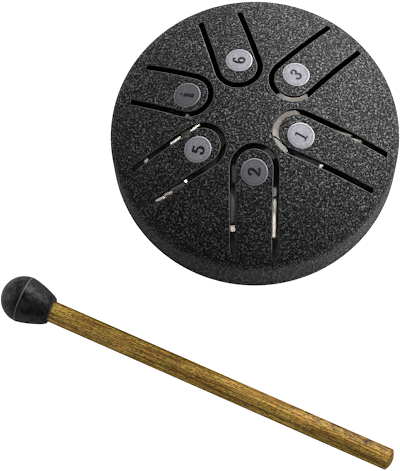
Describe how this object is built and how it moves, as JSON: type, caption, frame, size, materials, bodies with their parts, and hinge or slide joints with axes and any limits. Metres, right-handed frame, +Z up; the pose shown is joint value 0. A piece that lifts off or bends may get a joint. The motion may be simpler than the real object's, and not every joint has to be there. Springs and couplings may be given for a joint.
{
  "type": "steel tongue drum",
  "caption": "Small round steel tongue drum with a domed face of slotted tongues, a note sticker on each, a sound hole below and a rubber-headed wooden mallet.",
  "frame": {"origin": "on the drum's axis, at the surface that its feet stand on", "axes": "+Z up along the drum's axis, -Y towards the viewer and the mallet, +X to the viewer's right"},
  "size_m": [0.1115, 0.1288, 0.0416],
  "materials": {
    "shell_paint": "matte, fine grain",
    "sticker_foil": "satin foil",
    "foot_rubber": "matte",
    "stick_wood": "stained, satin",
    "head_rubber": "satin"
  },
  "bodies": {
    "drum": {"top_shell": "shell_paint", "bottom_shell": "shell_paint", "foot_front_right": "foot_rubber", "foot_rear_right": "foot_rubber", "foot_rear_left": "foot_rubber", "foot_front_left": "foot_rubber"},
    "tongue_do": {"tongue_do": "shell_paint", "sticker_do": "sticker_foil"},
    "tongue_re": {"tongue_re": "shell_paint", "sticker_re": "sticker_foil"},
    "tongue_mi": {"tongue_mi": "shell_paint", "sticker_mi": "sticker_foil"},
    "tongue_sol": {"tongue_sol": "shell_paint", "sticker_sol": "sticker_foil"},
    "tongue_la": {"tongue_la": "shell_paint", "sticker_la": "sticker_foil"},
    "tongue_high_do": {"tongue_high_do": "shell_paint", "sticker_high_do": "sticker_foil"},
    "mallet": {"mallet_stick": "stick_wood", "mallet_head": "head_rubber"}
  },
  "joints": [
    {"name": "tongue_do_flex", "type": "hinge", "parent": "drum", "child": "tongue_do", "pos_m": [0.03417, -0.01312, 0.03168], "axis": [0.3584, 0.9336, 0], "range_deg": [-0.6, 0.6], "stiffness_Nm_per_rad": 17.5},
    {"name": "tongue_re_flex", "type": "hinge", "parent": "drum", "child": "tongue_re", "pos_m": [-0.00032, -0.0367, 0.03163], "axis": [1, -0.0087, 0], "range_deg": [-0.6, 0.6], "stiffness_Nm_per_rad": 18.9},
    {"name": "tongue_mi_flex", "type": "hinge", "parent": "drum", "child": "tongue_mi", "pos_m": [0.02496, 0.02677, 0.03168], "axis": [-0.7314, 0.682, 0], "range_deg": [-0.6, 0.6], "stiffness_Nm_per_rad": 19.4},
    {"name": "tongue_sol_flex", "type": "hinge", "parent": "drum", "child": "tongue_sol", "pos_m": [-0.03061, -0.01739, 0.03244], "axis": [0.4939, -0.8695, 0], "range_deg": [-0.6, 0.6], "stiffness_Nm_per_rad": 21.6},
    {"name": "tongue_la_flex", "type": "hinge", "parent": "drum", "child": "tongue_la", "pos_m": [-0.00971, 0.033, 0.03285], "axis": [-0.9593, -0.2823, 0], "range_deg": [-0.6, 0.6], "stiffness_Nm_per_rad": 21.6},
    {"name": "tongue_high_do_flex", "type": "hinge", "parent": "drum", "child": "tongue_high_do", "pos_m": [-0.03215, 0.01279, 0.03275], "axis": [-0.3697, -0.9291, 0], "range_deg": [-0.6, 0.6], "stiffness_Nm_per_rad": 25.1},
    {"name": "mallet_lift", "type": "slide", "parent": "drum", "child": "mallet", "axis": [0, 0, 1], "range_m": [0, 0.1]}
  ]
}
